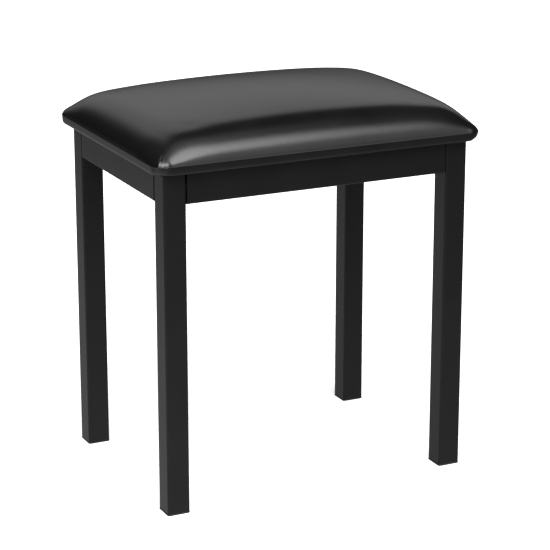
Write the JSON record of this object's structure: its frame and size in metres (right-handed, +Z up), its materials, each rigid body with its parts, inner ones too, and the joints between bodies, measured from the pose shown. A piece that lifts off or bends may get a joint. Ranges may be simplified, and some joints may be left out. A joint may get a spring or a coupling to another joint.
{
  "type": "piano bench",
  "caption": "Low backless bench with a domed padded vinyl seat on square steel tube legs joined by folded steel apron rails.",
  "frame": {"origin": "on the floor, under the middle of the bench", "axes": "+Z up; +X along the front of the bench, to the right as seen from the front; +Y towards the back"},
  "size_m": [0.45, 0.336, 0.5079],
  "materials": {
    "powder_coat": "satin",
    "foot_plastic": "matte",
    "zinc_steel": "satin",
    "black_zinc": "satin",
    "plywood": "matte",
    "foam": "matte",
    "vinyl": "satin",
    "dust_cloth": "matte"
  },
  "bodies": {
    "root": {"leg_front_left": "powder_coat", "foot_cap_front_left": "foot_plastic", "leg_front_right": "powder_coat", "foot_cap_front_right": "foot_plastic", "leg_rear_right": "powder_coat", "foot_cap_rear_right": "foot_plastic", "leg_rear_left": "powder_coat", "foot_cap_rear_left": "foot_plastic", "rail_front": "powder_coat", "rivet_nut_front_rail_left": "zinc_steel", "washer_front_rail_left": "zinc_steel", "bolt_front_rail_left": "black_zinc", "rivet_nut_front_rail_right": "zinc_steel", "washer_front_rail_right": "zinc_steel", "bolt_front_rail_right": "black_zinc", "seat_screw_front_1": "black_zinc", "seat_screw_front_2": "black_zinc", "rail_right": "powder_coat", "rivet_nut_right_rail_left": "zinc_steel", "washer_right_rail_left": "zinc_steel", "bolt_right_rail_left": "black_zinc", "rivet_nut_right_rail_right": "zinc_steel", "washer_right_rail_right": "zinc_steel", "bolt_right_rail_right": "black_zinc", "seat_screw_right_1": "black_zinc", "rail_rear": "powder_coat", "rivet_nut_rear_rail_left": "zinc_steel", "washer_rear_rail_left": "zinc_steel", "bolt_rear_rail_left": "black_zinc", "rivet_nut_rear_rail_right": "zinc_steel", "washer_rear_rail_right": "zinc_steel", "bolt_rear_rail_right": "black_zinc", "seat_screw_rear_1": "black_zinc", "seat_screw_rear_2": "black_zinc", "rail_left": "powder_coat", "rivet_nut_left_rail_left": "zinc_steel", "washer_left_rail_left": "zinc_steel", "bolt_left_rail_left": "black_zinc", "rivet_nut_left_rail_right": "zinc_steel", "washer_left_rail_right": "zinc_steel", "bolt_left_rail_right": "black_zinc", "seat_screw_left_1": "black_zinc", "seat_board": "plywood", "foam_pad": "foam", "seat_cover": "vinyl", "dust_cloth": "dust_cloth"}
  },
  "joints": []
}
